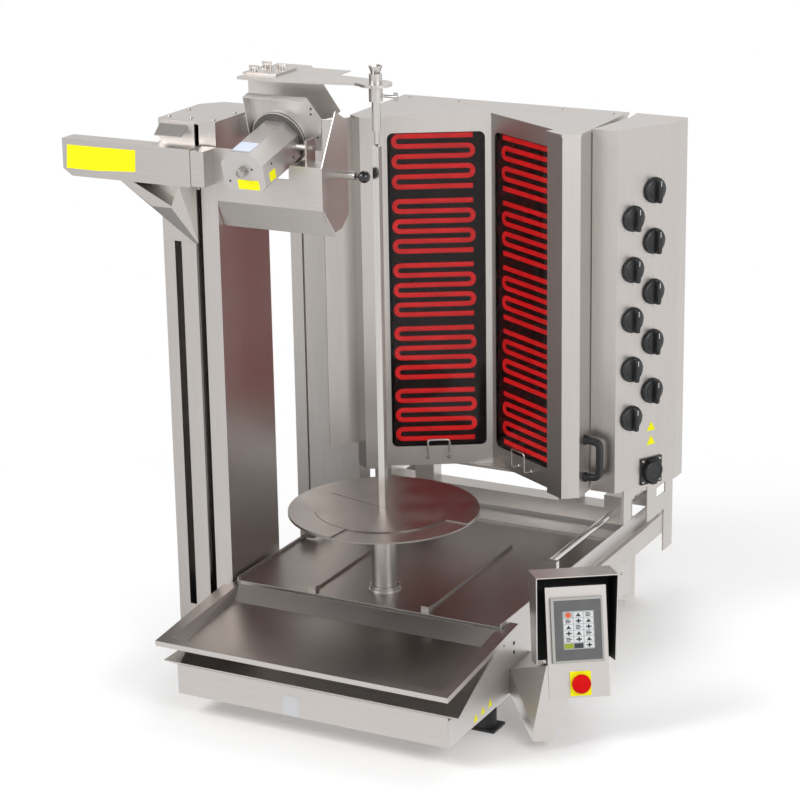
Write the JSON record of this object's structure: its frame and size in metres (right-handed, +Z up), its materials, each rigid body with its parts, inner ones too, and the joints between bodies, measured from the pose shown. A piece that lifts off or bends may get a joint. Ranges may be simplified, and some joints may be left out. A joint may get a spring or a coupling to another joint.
{
  "type": "automatic gyro grill",
  "caption": "Automatic gyro machine: turning spit and serving disc before a sliding two-panel heater, with a lifting cutting head on a tower.",
  "frame": {"origin": "on the ground, under the middle of the bounding box", "axes": "+Z up, -Y to the cook's side with the drawer and catch tray, +X to the side with the control panel"},
  "size_m": [1.247, 1.2092, 1.3616],
  "materials": {
    "steel": "satin",
    "bright": "polished",
    "machined": "turned",
    "dark_metal": "satin black",
    "bronze": "machined",
    "glass": "clear heat-proof",
    "element": "glowing red",
    "board": "dark fibre board",
    "black_plastic": "moulded",
    "black_gloss": "polished",
    "rubber": "matte",
    "screen": "backlit",
    "stop_red": "smooth"
  },
  "bodies": {
    "frame": {"base_housing": "steel", "floor_tray": "steel", "feet": "rubber", "rear_legs": "steel", "floor_collar": "steel", "spit_bearings": "bronze", "spit_motor": "dark_metal", "heater_guides": "bright", "tower_shell": "steel", "lift_motor": "dark_metal", "lift_rails": "bright", "top_bracket": "steel", "arm_clamp": "steel", "hmi_support": "steel", "hmi_panel": "steel", "hmi_screen": "screen"},
    "drawer": {"drawer_pan": "steel"},
    "tray": {"catch_tray": "steel"},
    "spit": {"pedestal": "steel", "spit_disc": "machined", "spit_bar": "bright", "drive_gear": "machined"},
    "pinion": {"drive_pinion": "machined"},
    "heater": {"crossbeam": "steel", "side_frames": "steel", "heater_housing": "steel", "heater_cover": "steel", "glass_panels": "glass", "panel_frames": "steel", "heating_elements": "element", "insulation": "board", "panel_bails": "bright", "left_shield": "steel", "side_handle": "black_plastic", "control_box": "steel", "heat_switches": "black_plastic", "inlet_socket": "black_plastic"},
    "lid": {"inlet_lid": "black_plastic"},
    "lift": {"lift_slider": "steel", "arm_box": "steel"},
    "screw": {"lift_screw": "bright"},
    "feed": {"carriage_plate": "steel"},
    "head": {"head_housing": "steel"},
    "cutter": {"blade": "bright"},
    "dial": {"head_knob": "machined"},
    "pull_pin": {"plunger": "black_gloss"},
    "swing_arm": {"spit_arm": "steel"},
    "centre_pin": {"spindle": "bright"},
    "clamp_screw": {"thumb_screw": "bright"},
    "stop": {"stop_button": "stop_red"},
    "dial_1": {"knob_1": "black_plastic"},
    "dial_2": {"knob_2": "black_plastic"},
    "dial_3": {"knob_3": "black_plastic"},
    "dial_4": {"knob_4": "black_plastic"},
    "dial_5": {"knob_5": "black_plastic"},
    "dial_6": {"knob_6": "black_plastic"},
    "dial_7": {"knob_7": "black_plastic"},
    "dial_8": {"knob_8": "black_plastic"},
    "dial_9": {"knob_9": "black_plastic"},
    "dial_10": {"knob_10": "black_plastic"}
  },
  "joints": [
    {"name": "drawer_slide", "type": "slide", "parent": "frame", "child": "drawer", "axis": [0, -1, 0], "range_m": [0, 0.24]},
    {"name": "tray_hinge", "type": "hinge", "parent": "frame", "child": "tray", "pos_m": [0.05954, -0.28645, 0.21], "axis": [-1, 0, 0], "range_deg": [0, 45]},
    {"name": "spit_spin", "type": "hinge", "parent": "frame", "child": "spit", "pos_m": [0.05954, -0.21545, 0.35], "axis": [0, 0, 1], "continuous": true},
    {"name": "pinion_spin", "type": "hinge", "parent": "frame", "child": "pinion", "pos_m": [0.05954, -0.14045, 0.14], "axis": [0, 0, 1], "continuous": true},
    {"name": "heater_slide", "type": "slide", "parent": "frame", "child": "heater", "axis": [0, 1, 0], "range_m": [-0.12, 0.08]},
    {"name": "dial_1_turn", "type": "hinge", "parent": "heater", "child": "dial_1", "pos_m": [0.45902, 0.33256, 1.0235], "axis": [-0.8788, 0.4772, 0], "range_deg": [0, 270]},
    {"name": "dial_2_turn", "type": "hinge", "parent": "heater", "child": "dial_2", "pos_m": [0.43106, 0.28106, 0.9679], "axis": [-0.8788, 0.4772, 0], "range_deg": [0, 270]},
    {"name": "dial_3_turn", "type": "hinge", "parent": "heater", "child": "dial_3", "pos_m": [0.45902, 0.33256, 0.9093], "axis": [-0.8788, 0.4772, 0], "range_deg": [0, 270]},
    {"name": "dial_4_turn", "type": "hinge", "parent": "heater", "child": "dial_4", "pos_m": [0.43106, 0.28106, 0.8524], "axis": [-0.8788, 0.4772, 0], "range_deg": [0, 270]},
    {"name": "dial_5_turn", "type": "hinge", "parent": "heater", "child": "dial_5", "pos_m": [0.45902, 0.33256, 0.7943], "axis": [-0.8788, 0.4772, 0], "range_deg": [0, 270]},
    {"name": "dial_6_turn", "type": "hinge", "parent": "heater", "child": "dial_6", "pos_m": [0.43106, 0.28106, 0.7382], "axis": [-0.8788, 0.4772, 0], "range_deg": [0, 270]},
    {"name": "dial_7_turn", "type": "hinge", "parent": "heater", "child": "dial_7", "pos_m": [0.45902, 0.33256, 0.6785], "axis": [-0.8788, 0.4772, 0], "range_deg": [0, 270]},
    {"name": "dial_8_turn", "type": "hinge", "parent": "heater", "child": "dial_8", "pos_m": [0.43106, 0.28106, 0.6243], "axis": [-0.8788, 0.4772, 0], "range_deg": [0, 270]},
    {"name": "dial_9_turn", "type": "hinge", "parent": "heater", "child": "dial_9", "pos_m": [0.45902, 0.33256, 0.5643], "axis": [-0.8788, 0.4772, 0], "range_deg": [0, 270]},
    {"name": "dial_10_turn", "type": "hinge", "parent": "heater", "child": "dial_10", "pos_m": [0.43106, 0.28106, 0.51], "axis": [-0.8788, 0.4772, 0], "range_deg": [0, 270]},
    {"name": "lid_hinge", "type": "hinge", "parent": "heater", "child": "lid", "pos_m": [0.45665, 0.33385, 0.401], "axis": [-0.4772, -0.8788, 0], "range_deg": [0, 100]},
    {"name": "lift_slide", "type": "slide", "parent": "frame", "child": "lift", "axis": [0, 0, 1], "range_m": [-0.6, 0.02]},
    {"name": "screw_spin", "type": "hinge", "parent": "frame", "child": "screw", "pos_m": [-0.34046, -0.21345, 0.55], "axis": [0, 0, 1], "continuous": true},
    {"name": "feed_slide", "type": "slide", "parent": "lift", "child": "feed", "axis": [1, 0, 0], "range_m": [0, 0.04]},
    {"name": "head_tilt", "type": "hinge", "parent": "feed", "child": "head", "pos_m": [-0.06046, -0.28231, 1.19445], "axis": [-1, 0, 0], "range_deg": [0, 25]},
    {"name": "blade_spin", "type": "hinge", "parent": "head", "child": "cutter", "pos_m": [-0.14646, -0.2532, 1.20171], "axis": [0, 0.9703, 0.2419], "continuous": true},
    {"name": "dial_turn", "type": "hinge", "parent": "head", "child": "dial", "pos_m": [-0.14646, -0.40845, 1.163], "axis": [0, 0.9703, 0.2419], "range_deg": [0, 270]},
    {"name": "plunger_pull", "type": "slide", "parent": "feed", "child": "pull_pin", "axis": [1, 0, 0], "range_m": [0, 0.012], "stiffness_N_per_m": 600},
    {"name": "arm_swing", "type": "hinge", "parent": "frame", "child": "swing_arm", "pos_m": [-0.20646, -0.18645, 1.3203], "axis": [0, 0, 1], "range_deg": [0, 70]},
    {"name": "spindle_lift", "type": "slide", "parent": "swing_arm", "child": "centre_pin", "axis": [0, 0, 1], "range_m": [0, 0.04]},
    {"name": "thumb_turn", "type": "hinge", "parent": "swing_arm", "child": "clamp_screw", "pos_m": [0.07954, -0.21545, 1.3003], "axis": [1, 0, 0], "range_deg": [0, 180]},
    {"name": "stop_push", "type": "slide", "parent": "frame", "child": "stop", "axis": [-0.5404, 0.8012, -0.2571], "range_m": [0, 0.004], "stiffness_N_per_m": 2500}
  ],
  "couplings": [
    {"joint": "pinion_spin", "follows": "spit_spin", "ratio": -4},
    {"joint": "screw_spin", "follows": "lift_slide", "rad_per_m": 628.3}
  ]
}
